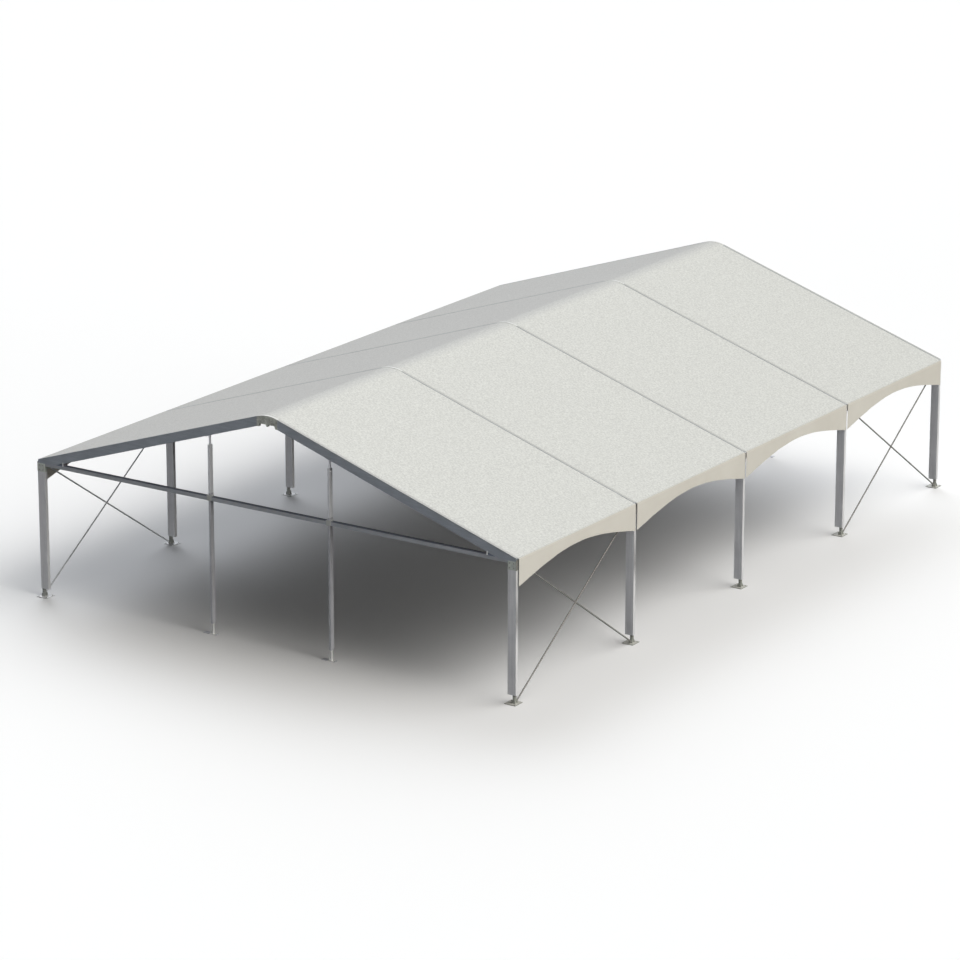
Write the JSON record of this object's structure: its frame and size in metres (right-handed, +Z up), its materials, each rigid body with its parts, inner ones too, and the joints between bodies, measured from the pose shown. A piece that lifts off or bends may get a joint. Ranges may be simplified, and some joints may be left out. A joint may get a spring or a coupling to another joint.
{
  "type": "marquee tent",
  "caption": "Clear-span marquee tent: box-section frames under a pitched cloth roof with arched valances, open sides, gable posts with a tie, and crossed bracing rods in the end bays",
  "frame": {"origin": "centre of the bounding box's bottom face, on the ground in the middle of the tent", "axes": "+Z up, +Y along the ridge from the front gable (at -Y) to the back, +X across the span to the right seen from the front"},
  "size_m": [12.72, 18.568, 5.1826],
  "materials": {
    "base_plate_left_1": "weathered galvanised",
    "base_plate_left_2": "weathered galvanised",
    "base_plate_left_3": "weathered galvanised",
    "base_plate_left_4": "weathered galvanised",
    "base_plate_left_5": "weathered galvanised",
    "base_plate_right_1": "weathered galvanised",
    "base_plate_right_2": "weathered galvanised",
    "base_plate_right_3": "weathered galvanised",
    "base_plate_right_4": "weathered galvanised",
    "base_plate_right_5": "weathered galvanised",
    "cross_brace_back_left": "dull painted steel",
    "cross_brace_back_right": "dull painted steel",
    "cross_brace_front_left": "dull painted steel",
    "cross_brace_front_right": "dull painted steel",
    "eave_line_left": "weathered galvanised",
    "eave_line_right": "weathered galvanised",
    "gable_post_back_left": "brushed extrusion",
    "gable_post_back_right": "brushed extrusion",
    "gable_post_front_left": "brushed extrusion",
    "gable_post_front_right": "brushed extrusion",
    "gable_tie_back": "brushed extrusion",
    "gable_tie_front": "brushed extrusion",
    "leg_left_1": "brushed extrusion",
    "leg_left_2": "brushed extrusion",
    "leg_left_3": "brushed extrusion",
    "leg_left_4": "brushed extrusion",
    "leg_left_5": "brushed extrusion",
    "leg_right_1": "brushed extrusion",
    "leg_right_2": "brushed extrusion",
    "leg_right_3": "brushed extrusion",
    "leg_right_4": "brushed extrusion",
    "leg_right_5": "brushed extrusion",
    "rafter_left_1": "brushed extrusion",
    "rafter_left_2": "brushed extrusion",
    "rafter_left_3": "brushed extrusion",
    "rafter_left_4": "brushed extrusion",
    "rafter_left_5": "brushed extrusion",
    "rafter_right_1": "brushed extrusion",
    "rafter_right_2": "brushed extrusion",
    "rafter_right_3": "brushed extrusion",
    "rafter_right_4": "brushed extrusion",
    "rafter_right_5": "brushed extrusion",
    "ridge_line": "weathered galvanised",
    "roof_sheet_1": "matt coated cloth",
    "roof_sheet_2": "matt coated cloth",
    "roof_sheet_3": "matt coated cloth",
    "roof_sheet_4": "matt coated cloth"
  },
  "bodies": {
    "root": {"base_plate_left_1": "base_plate_left_1", "base_plate_left_2": "base_plate_left_2", "base_plate_left_3": "base_plate_left_3", "base_plate_left_4": "base_plate_left_4", "base_plate_left_5": "base_plate_left_5", "base_plate_right_1": "base_plate_right_1", "base_plate_right_2": "base_plate_right_2", "base_plate_right_3": "base_plate_right_3", "base_plate_right_4": "base_plate_right_4", "base_plate_right_5": "base_plate_right_5", "cross_brace_back_left": "cross_brace_back_left", "cross_brace_back_right": "cross_brace_back_right", "cross_brace_front_left": "cross_brace_front_left", "cross_brace_front_right": "cross_brace_front_right", "eave_line_left": "eave_line_left", "eave_line_right": "eave_line_right", "gable_post_back_left": "gable_post_back_left", "gable_post_back_right": "gable_post_back_right", "gable_post_front_left": "gable_post_front_left", "gable_post_front_right": "gable_post_front_right", "gable_tie_back": "gable_tie_back", "gable_tie_front": "gable_tie_front", "leg_left_1": "leg_left_1", "leg_left_2": "leg_left_2", "leg_left_3": "leg_left_3", "leg_left_4": "leg_left_4", "leg_left_5": "leg_left_5", "leg_right_1": "leg_right_1", "leg_right_2": "leg_right_2", "leg_right_3": "leg_right_3", "leg_right_4": "leg_right_4", "leg_right_5": "leg_right_5", "rafter_left_1": "rafter_left_1", "rafter_left_2": "rafter_left_2", "rafter_left_3": "rafter_left_3", "rafter_left_4": "rafter_left_4", "rafter_left_5": "rafter_left_5", "rafter_right_1": "rafter_right_1", "rafter_right_2": "rafter_right_2", "rafter_right_3": "rafter_right_3", "rafter_right_4": "rafter_right_4", "rafter_right_5": "rafter_right_5", "ridge_line": "ridge_line", "roof_sheet_1": "roof_sheet_1", "roof_sheet_2": "roof_sheet_2", "roof_sheet_3": "roof_sheet_3", "roof_sheet_4": "roof_sheet_4"}
  },
  "joints": []
}
